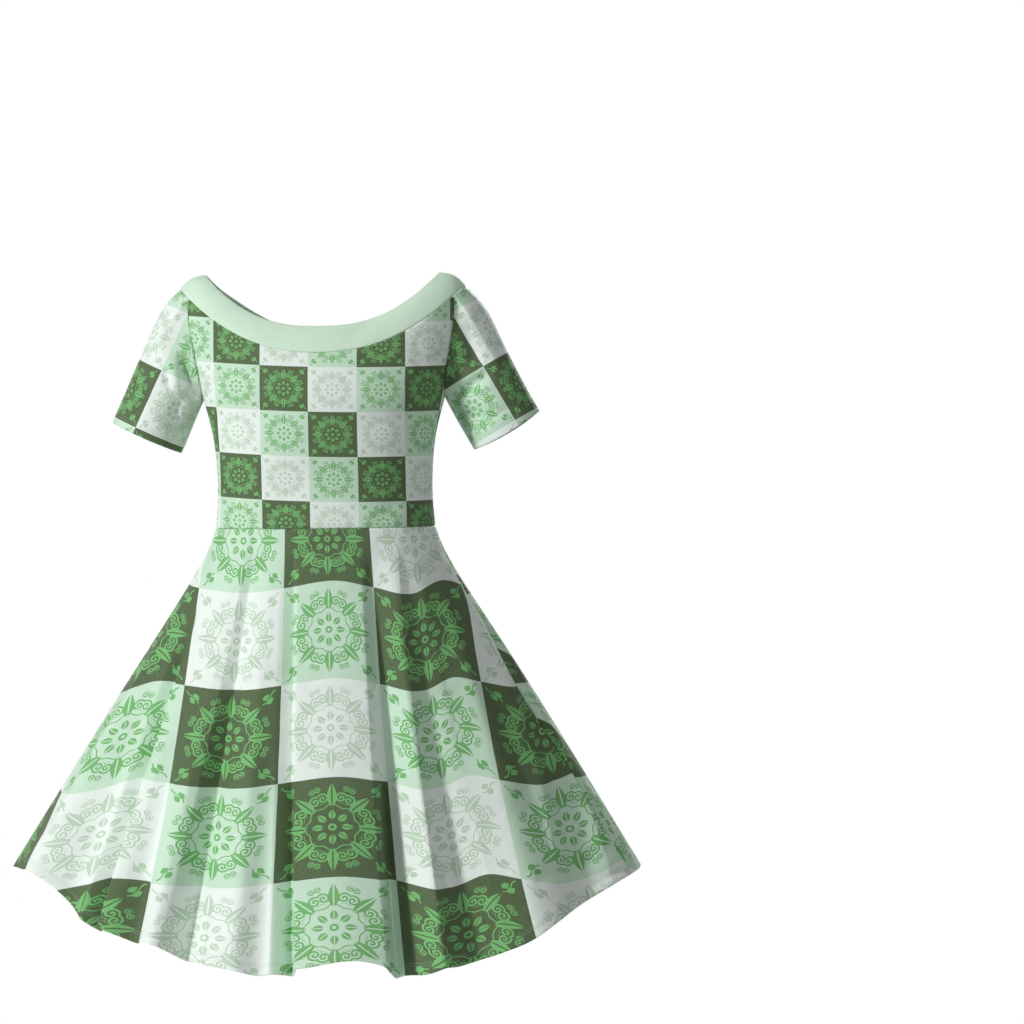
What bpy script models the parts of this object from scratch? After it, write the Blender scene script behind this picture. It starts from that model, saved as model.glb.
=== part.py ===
"""Short-sleeved fit-and-flare dress with a wide boat neck, filled out as if worn, hollow and open.

All sizes are in millimetres. +Z is up, the front faces -Y and the wearer's left is +X. The origin lies midway
between the tops of the shoulders, where the neckband rests on the wearer. Angles round the body run from the
centre front towards the wearer's left.
"""

import bpy
import numpy as np

MM = 0.001
COLLECTION = "dress"


def table(columns, *rows):
    """Numbers under named columns, as one array for each column."""
    return dict(zip(columns.split(), np.array(rows, float).T))


# Cloth
WALL = 1.2
BAND_WALL = 2.0
HEM_WALL = 2.4
HEM_STEP = 1.2
SLEEVE_HEM = 12.0
SKIRT_HEM = 15.0
SEAM_GAP = 0.3
CREASE_SHARE = 0.25

# Neckband: a strip between two curves, each a flat oval in plan that dips in front and behind
NECK_EDGE = dict(half_width=145.3, depth=(86, 78), dip=(-66.5, -73.5), power=(2.5, 3.0), shoulder=0.0)
BAND_EDGE = dict(half_width=178.0, depth=(103, 95), dip=(-99.5, -107.5), power=(2.25, 3.4), shoulder=-17.0)
BAND_CROWN = dict(centre=1.5, shoulder=5.0)

# Bodice: level sections from the waist seam up past the underarm, where the last only sets the lean
FULLNESS = 0.09
BODICE = table(
    "height half_width front_depth back_depth",
    (-321.0, 137.5, 96, 88),
    (-276.5, 134.0, 99, 84),
    (-229.5, 135.5, 108, 87),
    (-198.5, 139.0, 114.5, 93),
    (-155.5, 150.5, 115, 98),
    (-112.5, 156.0, 106, 97),
)
WAIST = dict(side=-315.5, dip=1.0)
UNDERARM = -155.5

# Armholes: the reach is how far the seam swings to the front or the back at mid height
ARMHOLE_TOP = np.radians((68.0, 69.0))
ARMHOLE_REACH = (46.0, 48.0)
REACH_BY = 0.5
CHEST_LEAN = 0.5

# Sleeves: the cuff is an oval between its inner and outer ends, which lie at the side of the body
CUFF_LEFT = dict(outer=(268.8, -174.1), inner=(186.9, -221.8), turn_down=4.0, bow=3.0)
CUFF_RIGHT = dict(outer=(265.4, -182.4), inner=(179.7, -222.1), turn_down=1.0, bow=1.5)
CUFF_HALF_DEPTH = 52.0
CUFF_AT_ARMHOLE_TOP = np.radians(130.0)
SLEEVE_HEAD_SLOPE = dict(underarm=np.radians(64.0), shoulder=np.radians(50.0))
SLEEVE_PULL = 0.33
SLEEVE_FOLDS = table(
    "place push spread start",
    (28, -3.0, 9, 0.15),
    (62, -3.5, 10, 0.20),
    (300, -3.0, 10, 0.20),
    (334, -3.0, 9, 0.15),
)

# Skirt: straight runs of cloth from the waist seam to the hem
HEM = dict(half_width=390.0, depth=(250, 240))
HEM_LINE = table(
    "place height",
    (-90, -739),
    (-75, -735.5),
    (-60, -748.5),
    (-53, -780),
    (-38, -808),
    (-27, -824),
    (-13, -849),
    (-2, -844),
    (9, -835),
    (20, -853),
    (29, -836.5),
    (40, -821),
    (48, -796),
    (60, -767),
    (75, -747),
    (90, -739),
    (105, -743),
    (120, -769),
    (140, -816),
    (160, -845),
    (180, -851),
    (200, -846),
    (220, -815),
    (240, -766),
    (255, -742),
    (270, -739),
)
WAIST_EASE = dict(share=0.032, at=0.14)
SEAM_AT_HEM = dict(left=74.0, right=-95.0)
SEAM_AT_WAIST = 90.0
SPREAD_POWER = 2.2
SPREAD_SHARE = 0.2
FOLD_GROWTH = 1.3
FOLD_LIFT = 0.4
SKIRT_FOLDS = table(
    "place push lean spread start",
    (-87, 6, 0, 6.0, 0.30),
    (-66, 8, 0, 6.0, 0.30),
    (-55, -18, 4, 4.0, 0.35),
    (-44, 9, 0, 4.5, 0.40),
    (-38, -12, 3, 2.6, 0.50),
    (-31.5, 7, 0, 4.0, 0.30),
    (-24.5, -20, 0, 4.2, 0.02),
    (-16.5, 9, 0, 4.5, 0.10),
    (-8.5, -27, 9, 2.9, 0.40),
    (2, 12, 0, 6.5, 0.15),
    (12.5, -31, -10, 2.9, 0.15),
    (20.5, 13, 0, 3.2, 0.04),
    (25.5, -10, 0, 2.4, 0.45),
    (33, 8, 0, 5.0, 0.25),
    (43, -16, -4, 4.0, 0.35),
    (55, 10, 0, 5.5, 0.25),
    (65, -9, 0, 4.0, 0.40),
    (77, 5, 0, 5.0, 0.30),
    (98, -12, 0, 5.0, 0.35),
    (112, 9, 0, 5.0, 0.25),
    (123, -16, 4, 4.0, 0.30),
    (134, 10, 0, 4.5, 0.25),
    (144, -18, 0, 3.6, 0.10),
    (154, 9, 0, 4.5, 0.15),
    (163, -15, 0, 3.4, 0.30),
    (172, 9, 0, 4.5, 0.20),
    (180, -10, 0, 3.0, 0.45),
    (187.5, 12, 0, 3.4, 0.04),
    (193.5, -24, 7, 2.8, 0.20),
    (203, 11, 0, 5.0, 0.10),
    (211, -18, 0, 3.6, 0.25),
    (221, 9, 0, 4.5, 0.25),
    (231, -17, -4, 3.8, 0.35),
    (242, 9, 0, 5.0, 0.30),
    (253, -10, 0, 4.0, 0.40),
)

# Numbers of faces
PANEL_COLUMNS = 24
SHOULDER_COLUMNS = 5
BODICE_ROWS = 6
CHEST_ROWS = 9
CHEST_ROW_POWER = 1.5
BAND_ROWS = 3
SLEEVE_ROWS = 7
SKIRT_ROWS = 9
SKIRT_COLUMNS = 84
FINE_STEPS = 1500

COLOURS = dict(
    mint=(0.60, 0.79, 0.64),
    pale=(0.80, 0.86, 0.81),
    green=(0.42, 0.60, 0.44),
)


def smooth_step(share):
    share = np.clip(share, 0, 1)
    return share * share * (3 - 2 * share)


def blend(start, end, share):
    return start + (end - start) * share


def bump(distance, spread):
    return np.exp(-0.5 * (distance / spread) ** 2)


def read(rows, column, height, by="height"):
    """A column of a table at any height, on a smooth curve through its rows."""
    knots = rows[by]
    values = rows[column]
    slopes = np.gradient(values, knots)
    height = np.clip(height, knots[0], knots[-1])
    low = np.clip(np.searchsorted(knots, height) - 1, 0, len(knots) - 2)
    span = knots[low + 1] - knots[low]
    t = (height - knots[low]) / span
    start = values[low] * (1 + 2 * t) * (1 - t) ** 2 + values[low + 1] * t * t * (3 - 2 * t)
    return start + span * (slopes[low] * t * (1 - t) ** 2 - slopes[low + 1] * t * t * (1 - t))


def by_face(pair, angle):
    """The front value of a pair where the angle looks to the front, and the back value elsewhere."""
    return np.where(np.cos(angle) > 0, pair[0], pair[1])


def oval(angle, half_width, depths, fullness=0.0):
    sine = np.sin(angle)
    cosine = np.cos(angle)
    x = half_width * sine * (1 + fullness * cosine**2)
    y = -by_face(depths, angle) * cosine * (1 + fullness * sine**2)
    return x, y


def neck_curve(edge, angle):
    """A point of the neckband's inner or outer edge."""
    x, y = oval(angle, edge["half_width"], edge["depth"])
    dip = by_face(edge["dip"], angle)
    power = by_face(edge["power"], angle)
    z = dip + (edge["shoulder"] - dip) * np.abs(np.sin(angle)) ** power
    return np.stack(np.broadcast_arrays(x, y, z), -1)


def band_point(angle, across):
    """The neckband from the neck edge, at 0, to the seam, at 1, crowned between them."""
    inner = neck_curve(NECK_EDGE, angle)
    outer = neck_curve(BAND_EDGE, angle)
    strip = outer - inner
    length = np.linalg.norm(strip, axis=-1)
    away = np.stack([-strip[..., 2] * np.sin(angle), strip[..., 2] * np.cos(angle)], -1) / length[..., None]
    rise = np.hypot(strip[..., 0], strip[..., 1]) / length
    crown = blend(BAND_CROWN["centre"], BAND_CROWN["shoulder"], np.sin(angle) ** 2) * 4 * across * (1 - across)
    normal = np.concatenate([away, rise[..., None]], -1)
    return inner + strip * across[..., None] + normal * crown[..., None]


def waist_height(angle):
    return WAIST["side"] - WAIST["dip"] * np.cos(angle) ** 2


def body_point(angle, height):
    """The bodice below the underarm, one level section above another."""
    depths = (read(BODICE, "front_depth", height), read(BODICE, "back_depth", height))
    x, y = oval(angle, read(BODICE, "half_width", height), depths, FULLNESS)
    return np.stack([x, y, height + 0 * x], -1)


def armhole_top(face, side):
    angle = side * ARMHOLE_TOP[face]
    return neck_curve(BAND_EDGE, np.pi - angle if face else angle)


def armhole_point(face, side, up):
    """The armhole seam on the front (face 0) or back (face 1), from the underarm up to the neckband."""
    top = armhole_top(face, side)
    forward = -1 if face == 0 else 1
    swing = np.sqrt(1 - (1 - np.clip(up / REACH_BY, 0, 1)) ** 2)
    ease_back = smooth_step((up - REACH_BY) / (1 - REACH_BY))
    reach = ARMHOLE_REACH[face] * swing - (ARMHOLE_REACH[face] - abs(top[1])) * ease_back
    underarm = read(BODICE, "half_width", UNDERARM)
    x = side * blend(underarm, abs(top[0]), smooth_step(up * 1.1))
    return np.stack([x, forward * reach, blend(UNDERARM, top[2], up)], -1)


def chest_point(face, across, up):
    """The bodice above the underarm, between the two armholes, from the underarm up to the neckband."""
    turn = across * np.pi / 2
    bottom = body_point(np.pi - turn if face else turn, np.full_like(turn, UNDERARM))
    top_angle = across * ARMHOLE_TOP[face]
    top = neck_curve(BAND_EDGE, np.pi - top_angle if face else top_angle)
    lean = up * blend(CHEST_LEAN, 1, up)
    share = np.stack([lean, lean, up], -1)
    flat = blend(bottom, top, share)
    pull = 0
    for side in (-1, 1):
        edge_bottom = body_point(np.array(side * np.pi / 2), np.array(UNDERARM))
        edge = blend(edge_bottom, armhole_top(face, side), share)
        weight = np.clip(side * across, 0, 1) ** 3
        pull = pull + (armhole_point(face, side, up) - edge) * weight[..., None]
    return flat + pull


def chest_rows():
    return (np.arange(CHEST_ROWS + 1) / CHEST_ROWS) ** CHEST_ROW_POWER


def bodice_grid(face):
    across = np.linspace(-1, 1, PANEL_COLUMNS + 1)
    turn = across * np.pi / 2
    angle = np.pi - turn if face else turn
    rows = []
    for share in np.arange(BODICE_ROWS) / BODICE_ROWS:
        rows.append(body_point(angle, blend(waist_height(angle), UNDERARM, share)))
    for share in chest_rows():
        rows.append(chest_point(face, across, np.full_like(across, share)))
    return np.array(rows)


def band_grid(face):
    shoulder = np.linspace(ARMHOLE_TOP[face], np.pi / 2, SHOULDER_COLUMNS + 1)
    middle = np.linspace(-ARMHOLE_TOP[face], ARMHOLE_TOP[face], PANEL_COLUMNS + 1)
    turn = np.concatenate([-shoulder[:0:-1], middle, shoulder[1:]])
    angle = np.pi - turn if face else turn
    rows = [band_point(angle, np.full_like(angle, 1 - share)) for share in np.linspace(0, 1, BAND_ROWS + 1)]
    return np.array(rows)


def armhole_ring(side):
    """Points round the whole armhole with the cuff angle that each is sewn down to, from the underarm forward."""
    up = chest_rows()
    front = np.array([armhole_point(0, side, share) for share in up])
    back = np.array([armhole_point(1, side, share) for share in up[::-1]])
    ends = (ARMHOLE_TOP[0], np.pi - ARMHOLE_TOP[1])
    front_top = np.linspace(ends[0], np.pi / 2, SHOULDER_COLUMNS + 1)[1:]
    back_top = np.linspace(np.pi / 2, ends[1], SHOULDER_COLUMNS + 1)[1:-1]
    top = neck_curve(BAND_EDGE, side * np.concatenate([front_top, back_top]))
    ring = np.concatenate([front, top, back[:-1]])
    first, last = len(front) - 1, len(front) + len(top)
    length = np.concatenate([[0], np.cumsum(np.linalg.norm(np.diff(ring, axis=0), axis=1))])
    total = length[-1] + np.linalg.norm(ring[-1] - ring[0])
    at_top = (CUFF_AT_ARMHOLE_TOP, 2 * np.pi - CUFF_AT_ARMHOLE_TOP)
    knots = (0, length[first], length[last], total)
    return ring, np.interp(length, knots, (0, at_top[0], at_top[1], 2 * np.pi))


def sleeve_grid(side, cuff):
    """Curved runs of cloth from the armhole to the cuff, then the turned hem along the sleeve."""
    head, turn = armhole_ring(side)
    inner = np.array([side * cuff["inner"][0], 0, cuff["inner"][1]])
    outer = np.array([side * cuff["outer"][0], 0, cuff["outer"][1]])
    centre = (inner + outer) / 2
    half = (outer - inner) / 2
    out = half / np.linalg.norm(half)
    down = np.array([side * abs(out[2]), 0, -abs(out[0])])
    drop = cuff["bow"] * np.sin(turn) ** 2 - cuff["turn_down"] * np.sin(turn)
    rim = centre - np.cos(turn)[:, None] * half
    rim = rim + np.sin(turn)[:, None] * np.array([0, -CUFF_HALF_DEPTH, 0]) + drop[:, None] * down
    fold_line = rim - down * SLEEVE_HEM
    top_share = (1 - np.cos(turn)) / 2
    slope = blend(SLEEVE_HEAD_SLOPE["underarm"], SLEEVE_HEAD_SLOPE["shoulder"], top_share)
    leave = np.stack([side * np.cos(slope), 0 * slope, -np.sin(slope)], -1)
    pull = SLEEVE_PULL * np.linalg.norm(fold_line - head, axis=1)[:, None]
    controls = (head, head + leave * pull, fold_line - down * pull, fold_line)
    away = rim - centre
    away = away / np.linalg.norm(away, axis=1)[:, None]
    rows = []
    for share in np.linspace(0, 1, SLEEVE_ROWS + 1):
        weights = ((1 - share) ** 3, 3 * share * (1 - share) ** 2, 3 * share**2 * (1 - share), share**3)
        row = sum(weight * control for weight, control in zip(weights, controls))
        rows.append(row + away * sleeve_push(turn, share)[:, None])
    for past in (HEM_STEP, SLEEVE_HEM):
        rows.append(fold_line + down * past + away * sleeve_push(turn, 1)[:, None])
    return np.array(rows)


def sleeve_push(turn, share):
    push = 0
    for place, depth, spread, start in zip(*SLEEVE_FOLDS.values()):
        grown = np.clip((share - start) / (1 - start), 0, 1)
        push = push + depth * bump(np.degrees(turn) - place, spread) * np.sin(np.pi * grown)
    return push


def spread_share(share):
    """Where a run starts on the waist: most of the flare falls from near the side seams."""
    return (1 - SPREAD_SHARE) * (1 - (1 - share) ** SPREAD_POWER) + SPREAD_SHARE * share


def waist_angle(hem_angle):
    """The angle at the waist of the run of cloth that reaches the hem at this angle, in degrees."""
    past = np.abs(hem_angle)
    seam = np.where(hem_angle > 0, SEAM_AT_HEM["left"], -SEAM_AT_HEM["right"])
    front = SEAM_AT_WAIST * spread_share(np.clip(past / seam, 0, 1))
    back = 180 - SEAM_AT_WAIST * spread_share(np.clip((180 - past) / (180 - seam), 0, 1))
    return np.sign(hem_angle) * np.where(past <= seam, front, back)


def skirt_fold(hem_angle, down):
    """How far the folds push the skirt out and along its hem."""
    out = 0
    along = 0
    for place, push, lean, spread, start in zip(*SKIRT_FOLDS.values()):
        distance = (hem_angle - place + 180) % 360 - 180
        shape = bump(distance, spread) * np.clip((down - start) / (1 - start), 0, 1) ** FOLD_GROWTH
        out = out + push * shape
        along = along + lean * shape
    return out, along


def skirt_point(hem_angle, down):
    """The skirt from the waist seam, at 0, to the hem, at 1."""
    top_angle = np.radians(waist_angle(hem_angle))
    low_angle = np.radians(hem_angle)
    top_z = waist_height(top_angle)
    depths = (read(BODICE, "front_depth", top_z), read(BODICE, "back_depth", top_z))
    top_x, top_y = oval(top_angle, read(BODICE, "half_width", top_z), depths, FULLNESS)
    low_x, low_y = oval(low_angle, HEM["half_width"], HEM["depth"])
    low_z = read(HEM_LINE, "height", (hem_angle + 90) % 360 - 90, by="place")
    eased = down / WAIST_EASE["at"]
    spread = down - WAIST_EASE["share"] * eased * np.exp(1 - eased)
    out, along = skirt_fold(hem_angle, down)
    depth = by_face(HEM["depth"], low_angle)
    normal = np.stack([depth * np.sin(low_angle), -HEM["half_width"] * np.cos(low_angle)], -1)
    normal = normal / np.linalg.norm(normal, axis=-1)[..., None]
    x = blend(top_x, low_x, spread) + out * normal[..., 0] - along * normal[..., 1]
    y = blend(top_y, low_y, spread) + out * normal[..., 1] + along * normal[..., 0]
    z = blend(top_z, low_z, down) + FOLD_LIFT * out
    return np.stack([x, y, z], -1)


def skirt_columns(first, last):
    """Hem angles that divide the folded hem into equal lengths."""
    fine = np.linspace(first, last, FINE_STEPS)
    hem = skirt_point((fine + 180) % 360 - 180, 1.0)
    length = np.concatenate([[0], np.cumsum(np.linalg.norm(np.diff(hem, axis=0), axis=1))])
    return np.interp(np.linspace(0, length[-1], SKIRT_COLUMNS + 1), length, fine)


def skirt_grid(face):
    left = SEAM_AT_HEM["left"]
    right = SEAM_AT_HEM["right"]
    columns = skirt_columns(left, 360 + right) if face else skirt_columns(right, left)
    angle = (columns + 180) % 360 - 180
    run = np.linalg.norm(skirt_point(angle, 1.0) - skirt_point(angle, 0.0), axis=1)
    fold_line = 1 - SKIRT_HEM / run
    shares = [fold_line * share for share in np.linspace(0, 1, SKIRT_ROWS + 1)]
    shares += [fold_line + HEM_STEP / run, np.ones_like(run)]
    rows = [skirt_point(angle, share) for share in shares]
    return np.array(rows)[::-1]


def wall_normals(grid, closed):
    """Outward directions at each point of a grid whose rows run up or down and whose columns run round."""
    wide = np.concatenate([grid[:, -2:], grid, grid[:, :2]], 1) if closed else grid
    round_way = np.gradient(wide, axis=1, edge_order=2)
    up_way = np.gradient(wide, axis=0, edge_order=2)
    normal = np.cross(round_way, up_way)
    normal = normal / np.linalg.norm(normal, axis=-1)[..., None]
    return normal[:, 2:-2] if closed else normal


def unit(vectors):
    length = np.linalg.norm(vectors, axis=-1, keepdims=True)
    return vectors / np.where(length > 0, length, 1)


def edge_steps(piece):
    """At each sewn edge point, the way from the edge into its own panel; nothing elsewhere."""
    grid = piece["grid"]
    steps = np.zeros_like(grid)
    if 0 not in piece["free_rows"]:
        steps[0] += unit(grid[1] - grid[0])
    if -1 not in piece["free_rows"]:
        steps[-1] += unit(grid[-2] - grid[-1])
    if not piece["closed"]:
        steps[:, 0] += unit(grid[:, 1] - grid[:, 0])
        steps[:, -1] += unit(grid[:, -2] - grid[:, -1])
    return steps


def sew(pieces):
    """Parts the edges that meet along a seam by the gap, and sets the way that each wall goes inwards.

    Both walls take their mean direction, so that their edges lie flush, except in the crease of an armhole,
    where each goes its own way and they open behind the seam.
    """
    points = np.concatenate([piece["grid"].reshape(-1, 3) for piece in pieces])
    normals = np.concatenate([wall_normals(piece["grid"], piece["closed"]).reshape(-1, 3) for piece in pieces])
    steps = np.concatenate([edge_steps(piece).reshape(-1, 3) for piece in pieces])
    place = np.unique(np.round(points, 3) + 0.0, axis=0, return_inverse=True)[1].reshape(-1)
    normal_sum = np.zeros((place.max() + 1, 3))
    step_sum = np.zeros_like(normal_sum)
    np.add.at(normal_sum, place, normals)
    np.add.at(step_sum, place, steps)
    others = step_sum[place] - steps
    mean = unit(normal_sum[place])
    crease = (np.sum(others * normals, axis=1) > CREASE_SHARE) | (np.sum(mean * normals, axis=1) < 0)
    directions = np.where(crease[:, None], normals, mean)
    size = np.linalg.norm(steps, axis=1, keepdims=True)
    outer = points + unit(steps - others) * size * SEAM_GAP / 2
    first = 0
    for piece in pieces:
        count = piece["grid"].size // 3
        piece["outer"] = outer[first : first + count].reshape(piece["grid"].shape)
        wall = directions[first : first + count].reshape(piece["grid"].shape)
        piece["inner"] = piece["outer"] - wall * piece["thickness"][:, None, None]
        first += count


def wall_mesh(name, outer, inner, closed):
    """One closed wall from its outer and inner grids of points."""
    row_count, column_count = outer.shape[:2]
    points = np.concatenate([outer.reshape(-1, 3), inner.reshape(-1, 3)]) * MM
    inside = row_count * column_count

    def at(row, column):
        return row * column_count + column % column_count

    faces = []
    spans = column_count if closed else column_count - 1
    for row in range(row_count - 1):
        for column in range(spans):
            ring = [at(row, column), at(row, column + 1), at(row + 1, column + 1), at(row + 1, column)]
            faces.append(ring)
            faces.append([corner + inside for corner in reversed(ring)])
    rims = []
    for column in range(spans):
        rims.append((at(0, column + 1), at(0, column)))
        rims.append((at(row_count - 1, column), at(row_count - 1, column + 1)))
    if not closed:
        for row in range(row_count - 1):
            rims.append((at(row, 0), at(row + 1, 0)))
            rims.append((at(row + 1, column_count - 1), at(row, column_count - 1)))
    faces += [[start, end, end + inside, start + inside] for start, end in rims]
    mesh = bpy.data.meshes.new(name)
    mesh.from_pydata(points.tolist(), [], faces)
    mesh.shade_smooth()
    mesh.set_sharp_from_angle(angle=np.radians(40))
    return mesh


def cloth_material(name, colour, roughness=0.8):
    material = bpy.data.materials.new(name)
    material.use_nodes = True
    shader = material.node_tree.nodes["Principled BSDF"]
    shader.inputs["Base Color"].default_value = (*colour, 1)
    shader.inputs["Roughness"].default_value = roughness
    shader.inputs["Metallic"].default_value = 0
    return material


def piece_of(name, grid, thickness, colour, closed=False, free_rows=()):
    """A panel of cloth: its grid is the outer face, with the wall inside it, and its free rows aren't sewn."""
    return dict(
        name=name,
        grid=grid,
        thickness=np.broadcast_to(thickness, len(grid)),
        colour=colour,
        closed=closed,
        free_rows=free_rows,
    )


def with_hem(row_count, hem_first):
    """The wall is doubled in the two rows of a turned hem."""
    thickness = np.full(row_count, WALL)
    thickness[-2:] = HEM_WALL
    return thickness[::-1] if hem_first else thickness


def cut_pieces():
    pieces = []
    for face, name in enumerate(("front", "back")):
        outward = slice(None, None, -1) if face else slice(None)
        band = band_grid(face)[:, outward]
        bodice = bodice_grid(face)[:, outward]
        skirt = skirt_grid(face)
        pieces.append(piece_of("neckband_" + name, band, BAND_WALL, "mint", free_rows=(-1,)))
        pieces.append(piece_of("bodice_" + name, bodice, WALL, "pale"))
        pieces.append(piece_of("skirt_" + name, skirt, with_hem(len(skirt), True), "pale", free_rows=(0,)))
    for name, side, cuff in (("left", 1, CUFF_LEFT), ("right", -1, CUFF_RIGHT)):
        sleeve = sleeve_grid(side, cuff)[:, ::-side]
        thickness = with_hem(len(sleeve), False)
        pieces.append(piece_of("sleeve_" + name, sleeve, thickness, "green", closed=True, free_rows=(-1,)))
    return pieces


def build_dress():
    for leftover in list(bpy.data.objects):
        bpy.data.objects.remove(leftover, do_unlink=True)
    collection = bpy.data.collections.new(COLLECTION)
    bpy.context.scene.collection.children.link(collection)
    pieces = cut_pieces()
    sew(pieces)
    for piece in pieces:
        mesh = wall_mesh(piece["name"], piece["outer"], piece["inner"], piece["closed"])
        mesh.materials.append(cloth_material(piece["name"] + "_cloth", COLOURS[piece["colour"]]))
        collection.objects.link(bpy.data.objects.new(piece["name"], mesh))


build_dress()
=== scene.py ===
import bpy
import numpy as np
from mathutils import Matrix, Vector


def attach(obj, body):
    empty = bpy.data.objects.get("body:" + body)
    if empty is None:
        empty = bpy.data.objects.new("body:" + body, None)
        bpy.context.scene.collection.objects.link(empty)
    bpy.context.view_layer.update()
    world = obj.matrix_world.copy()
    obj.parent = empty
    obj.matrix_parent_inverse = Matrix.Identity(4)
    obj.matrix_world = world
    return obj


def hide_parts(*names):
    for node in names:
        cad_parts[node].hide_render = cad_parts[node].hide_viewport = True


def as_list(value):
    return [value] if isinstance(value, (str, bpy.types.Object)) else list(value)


# Short-sleeved fit-and-flare dress in printed knit, filled out as if worn. Sizes are in millimetres.
# +Z is up, the front faces -Y, the wearer's left is +X, and zero is between the tops of the shoulders.

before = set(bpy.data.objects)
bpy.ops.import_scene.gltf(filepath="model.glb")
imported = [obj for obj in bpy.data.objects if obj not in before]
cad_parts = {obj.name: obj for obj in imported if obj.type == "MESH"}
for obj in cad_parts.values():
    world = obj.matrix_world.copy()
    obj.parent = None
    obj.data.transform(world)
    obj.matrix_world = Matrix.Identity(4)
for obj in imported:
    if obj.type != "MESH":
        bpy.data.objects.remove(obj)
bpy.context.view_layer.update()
print("frame loaded:", ", ".join(sorted(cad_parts)))

millimetre = 0.001


def columnsOf(names, *rows):
    return dict(zip(names.split(), np.array(rows, float).T))


def smoothStep(share):
    share = np.clip(share, 0, 1)
    return share * share * (3 - 2 * share)


def blend(start, end, share):
    return start + (end - start) * share


def bump(distance, spread):
    return np.exp(-0.5 * (distance / spread) ** 2)


def grown(share, start):
    # nothing up to the start, and evenly to 1 from there
    return np.clip((share - start) / (1 - start), 0, 1)


def readCurve(rows, column, at, by="height"):
    # a smooth curve through the rows of a short table
    knots, values = rows[by], rows[column]
    slopes = np.gradient(values, knots)
    at = np.clip(at, knots[0], knots[-1])
    low = np.clip(np.searchsorted(knots, at) - 1, 0, len(knots) - 2)
    span = knots[low + 1] - knots[low]
    share = (at - knots[low]) / span
    level = blend(values[low], values[low + 1], smoothStep(share))
    return level + span * share * (1 - share) * (slopes[low] * (1 - share) - slopes[low + 1] * share)


def byFace(pair, angle):
    # the first value on the front, the second on the back
    return np.where(np.cos(angle) > 0, pair[0], pair[1])


def onFace(face, angle):
    # an angle from the middle of the front, or the one opposite it on the back
    return np.pi - angle if face else angle


def halfTurn(degrees):
    # the same direction, as an angle from -180 to 180
    return (degrees + 180) % 360 - 180


def ovalPoint(angle, halfWidth, depths, fullness=0.0):
    sine, cosine = np.sin(angle), np.cos(angle)
    x = halfWidth * sine * (1 + fullness * cosine**2)
    y = -byFace(depths, angle) * cosine * (1 + fullness * sine**2)
    return x, y


def unit(vectors):
    length = np.linalg.norm(vectors, axis=-1, keepdims=True)
    return vectors / np.where(length > 0, length, 1)


def newObject(name, data):
    made = bpy.data.objects.new(name, data)
    bpy.context.scene.collection.objects.link(made)
    return made


# Cloth shells: every piece is a grid of points whose rows run up and whose columns run round

cloth = {
    "wall": 1.0,
    "hemWall": 2.2,
    "bandWall": 2.0,
    "seamDip": 1.5,  # how far the cloth rolls in at a seam
    "seamRoll": 2.8,
    "seamSteps": np.array([0.65, 1.3, 2.1, 3.2]),  # lines of points beside a seam
    "seamClear": 1.2,  # how far beyond them, as a share, the next line is
    "allowance": 5.0,  # seam allowance that stands inside
    "allowanceEdge": 0.7,
    "foldRound": 0.9,  # a free edge is rounded by this much, or by a share of its wall
    "foldShare": 0.42,
    "foldWidth": 1.6,
    "wrinkleFade": 9.0,  # wrinkles fade out this near to a sewn edge
    "wrinkleTaper": (0.1, 0.7),  # how far past its ends a wrinkle runs out, and how softly
    "wrinkleSide": 1.5,  # how soon it ends where the cloth turns to the side
    "sharpAngle": np.radians(50),
}
fourEdges = ("low", "high", "first", "last")


def fineEdges(count, length, low=True, high=True):
    # shares from 0 to 1 with closer steps beside the edges that are sewn
    shares = np.linspace(0, 1, count + 1)
    near = cloth["seamSteps"] / length
    clear = cloth["seamClear"] * near[-1]
    inside = (shares > clear * low) & (shares < 1 - clear * high)
    parts = [shares[inside | (shares <= 0) | (shares >= 1)]]
    parts += [near] if low else []
    parts += [1 - near] if high else []
    return np.sort(np.concatenate(parts))


def addedUp(steps, axis=1):
    return np.insert(np.cumsum(steps, axis=axis), 0, 0, axis=axis)


def lengthsAlong(grid, axis):
    return addedUp(np.linalg.norm(np.diff(grid, axis=axis), axis=-1), axis)


def lengthMap(grid):
    return np.stack([lengthsAlong(grid, 1), lengthsAlong(grid, 0)], -1)


def closeRound(grid):
    return np.concatenate([grid, grid[:, :1]], 1)


def surfaceNormals(grid, closed):
    wide = np.concatenate([grid[:, -2:], grid, grid[:, :2]], 1) if closed else grid
    normal = unit(np.cross(np.gradient(wide, axis=1), np.gradient(wide, axis=0)))
    return normal[:, 2:-2] if closed else normal


def edgeGap(grid, sewn):
    # how far each point lies from the nearest sewn edge
    down, around = lengthsAlong(grid, 0), lengthsAlong(grid, 1)
    gaps = {"low": down, "high": down[-1:] - down, "first": around, "last": around[:, -1:] - around}
    return np.minimum.reduce([gaps[edge] for edge in sewn])


def shellFaces(index, inside, closed):
    # corners of the outer faces, of the inner ones and of the rims at the low, high, first and last edge
    outer = np.stack([index[:-1, :-1], index[:-1, 1:], index[1:, 1:], index[1:, :-1]], -1).reshape(-1, 4)
    lines = [index[0], index[-1, ::-1]]
    lines += [] if closed else [index[::-1, 0], index[:, -1]]
    rims = [np.stack([line[1:], line[:-1], line[:-1] + inside, line[1:] + inside], 1) for line in lines]
    return [outer, outer[:, ::-1] + inside, *rims]


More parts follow.
